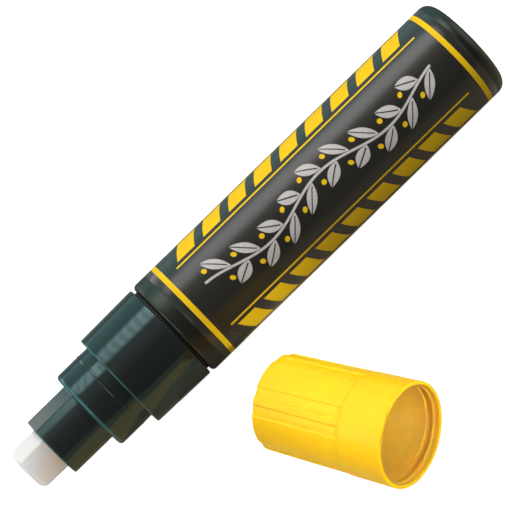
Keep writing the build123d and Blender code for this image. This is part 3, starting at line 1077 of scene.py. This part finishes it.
def softbox(stage):
    """A long softbox, soft at its edges and brighter over its tubes, a little behind the marker."""
    tip_back = math.radians(22.0)
    wide, deep, away, low_end = 0.95, 0.84, 1.1, -0.24
    soft_side, soft_end = 0.24, 0.09
    tube_pitch, tube_slant, tube_swing, tube_level = 0.0066, 0.010, 0.24, 0.85
    dim_start, dim_span, dim_level, dim_rise = -0.146, 0.030, 0.74, 0.28
    overhead = Vector((0.0, math.sin(tip_back), math.cos(tip_back)))
    centre = TARGET + overhead * away
    centre.x = low_end + wide / 2
    made = area("overhead_softbox", wide, deep, stage.key, centre)
    made.rotation_quaternion = overhead.to_track_quat("Z", "Y")

    def paint(graph, x, y, z):
        across = (y - centre.y) * overhead.z - (z - centre.z) * overhead.y
        edge = (deep / 2 - abs(across)).rise(0.0, soft_side) * x.rise(low_end, soft_end)
        tubes = ((x - across * tube_slant) * (math.tau / tube_pitch)).math("COSINE")
        dimmed = x.rise(dim_start, dim_span) * dim_rise + dim_level
        return {"Strength": smooth_step(edge) * (tubes * tube_swing + tube_level) * dimmed}

    shine(made, paint)


def set_lights(stage):
    """The overhead softbox, cards for the gloss, fills that it doesn't show, and two narrow lamps."""
    cap_share, edge_roll, back_tint = 0.7, math.radians(-16.0), (1.0, 0.68, 0.65)
    softbox(stage)
    amber_card(stage)
    # Name, width and depth in metres, radiance, place from the target, and if gloss and colour show it
    cards = (
        ("base_card", 0.8, 0.6, stage.sides, (0.95, 0.0, 0.24), True, True),
        ("edge_card", 1.2, 0.30, stage.edges, (-0.78, -0.06, 0.50), True, False),
        ("cap_light", 0.34, 0.34, stage.key * cap_share, (-0.40, 0.50, 0.86), True, True),
        ("back_card", 0.45, 0.32, stage.facet, (-0.308, 0.9116, 0.1588), True, True),
        ("top_fill", 1.6, 1.2, stage.top_fill, (0.0, 0.25, 1.3), False, True),
        ("front_fill", 1.2, 1.0, stage.fill, (-0.25, -0.95, 0.85), False, True),
        ("side_fill", 0.7, 0.7, stage.side_fill, (-1.20, -0.18, 0.30), False, True),
    )
    made = {}
    for name, wide, deep, radiance, offset, glossy, diffuse in cards:
        made[name] = area(name, wide, deep, radiance, TARGET + Vector(offset), glossy, diffuse)
    made["edge_card"].rotation_quaternion @= Quaternion((0.0, 0.0, 1.0), edge_roll)
    made["back_card"].data.color = back_tint
    # Name, power, the place that is lit, the direction back to the lamp, and its cone in degrees
    lamps = (
        ("mouth_lamp", stage.mouth, (-0.0839, -0.0759, -0.0014), (0.20, -0.87, 0.44), 2.7),
        ("nib_lamp", stage.nib, (-0.1560, 0.0, 0.0), (-0.30, -0.80, 0.52), 2.0),
    )
    away, bulb, soft_edge = 0.6, 0.03, 0.4
    for name, watts, aim, direction, cone in lamps:
        towards = Vector(direction).normalized()
        lamp = light(name, "SPOT", Vector(aim) + towards * away, towards)
        lamp.data.energy, lamp.data.shadow_soft_size = watts, bulb
        lamp.data.spot_size, lamp.data.spot_blend = math.radians(cone), soft_edge
        lamp.visible_glossy = False


def set_room(scene):
    """A dim room that is paler behind the marker, in the gloss also overhead, and white to the camera."""
    dim, back_light, back_gloss, crown_gloss, white = 0.09, 0.21, 0.60, 0.33, 0.95
    scene.world = bpy.data.worlds.new("studio_room")
    graph = Graph(scene.world)
    _, y, z = graph.split(graph.node("ShaderNodeTexCoord").outputs["Generated"])
    path = graph.node("ShaderNodeLightPath").outputs
    seen, mirrored = Value(graph, path["Is Camera Ray"]), Value(graph, path["Is Glossy Ray"])
    back, crown = y.rise(0.30, 0.40), z.rise(0.75, 0.25)
    cool = graph.mix(back * mirrored, (1.0, 1.0, 1.0), (0.50, 1.0, 1.0))
    gloss = mirrored * (back * back_gloss + crown * crown * crown_gloss)
    strength = (dim + back * back_light + gloss).most(seen * white)
    lit = graph.node("ShaderNodeBackground", {"Color": cool, "Strength": strength})
    graph.node("ShaderNodeOutputWorld", {"Surface": lit})


def set_camera(scene, stage):
    """The camera at the photographed angle, turned about its own axis as the picture is."""
    data = bpy.data.cameras.new("studio_camera")
    data.lens = stage.lens
    data.sensor_width = 36.0
    data.shift_x, data.shift_y = -0.00098, 0.00146
    data.clip_start, data.clip_end = 0.01, 100.0
    scene.camera = add("studio_camera", data)
    turn = Matrix.Rotation(stage.azimuth, 4, "Z") @ Matrix.Rotation(math.pi / 2 - stage.elevation, 4, "X")
    turn = turn @ Matrix.Rotation(stage.roll, 4, "Z") @ Matrix.Translation((0.0, 0.0, stage.distance))
    scene.camera.matrix_world = Matrix.Translation(TARGET) @ turn


class CHALK_MARKER_OT_stage(Operator):
    """Set the white floor, the lights, the dim room and the camera"""

    bl_idname = "chalk_marker.stage"
    bl_label = "Stage"

    def execute(self, context):
        scene, stage = context.scene, context.scene.chalk_stage
        set_floor(stage)
        set_lights(stage)
        set_room(scene)
        set_camera(scene, stage)
        scene.view_settings.view_transform = "Standard"
        return {"FINISHED"}


class CHALK_MARKER_PT_sidebar(Panel):
    """Sizes, colours and build steps of the chalk marker"""

    bl_idname = "CHALK_MARKER_PT_sidebar"
    bl_label = "Chalk Marker"
    bl_space_type = "VIEW_3D"
    bl_region_type = "UI"
    bl_category = "Chalk Marker"

    def draw(self, context):
        for attribute, (group, operator) in SETTINGS.items():
            box = self.layout.box()
            box.operator(operator.bl_idname)
            settings = getattr(context.scene, attribute)
            for name in group.__annotations__:
                box.prop(settings, name)


SETTINGS = {
    "chalk_barrel": (BarrelSettings, CHALK_MARKER_OT_barrel),
    "chalk_label": (LabelSettings, CHALK_MARKER_OT_label),
    "chalk_gasket": (GasketSettings, CHALK_MARKER_OT_gasket),
    "chalk_mouthpiece": (MouthpieceSettings, CHALK_MARKER_OT_mouthpiece),
    "chalk_nib": (NibSettings, CHALK_MARKER_OT_nib),
    "chalk_cap": (CapSettings, CHALK_MARKER_OT_cap),
    "chalk_valve": (ValveSettings, CHALK_MARKER_OT_valve),
    "chalk_stage": (StageSettings, CHALK_MARKER_OT_stage),
}


def register():
    for attribute, (group, operator) in SETTINGS.items():
        bpy.utils.register_class(group)
        bpy.utils.register_class(operator)
        setattr(bpy.types.Scene, attribute, PointerProperty(type=group))
    bpy.utils.register_class(CHALK_MARKER_PT_sidebar)


def unregister():
    bpy.utils.unregister_class(CHALK_MARKER_PT_sidebar)
    for attribute, (group, operator) in reversed(SETTINGS.items()):
        delattr(bpy.types.Scene, attribute)
        bpy.utils.unregister_class(operator)
        bpy.utils.unregister_class(group)


def main():
    register()
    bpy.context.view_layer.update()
    bpy.ops.chalk_marker.barrel()
    bpy.ops.chalk_marker.label()
    bpy.ops.chalk_marker.gasket()
    bpy.ops.chalk_marker.mouthpiece()
    bpy.ops.chalk_marker.nib()
    bpy.ops.chalk_marker.cap()
    bpy.ops.chalk_marker.valve()
    bpy.ops.chalk_marker.stage()
    bpy.context.view_layer.update()


if __name__ == "__main__":
    main()
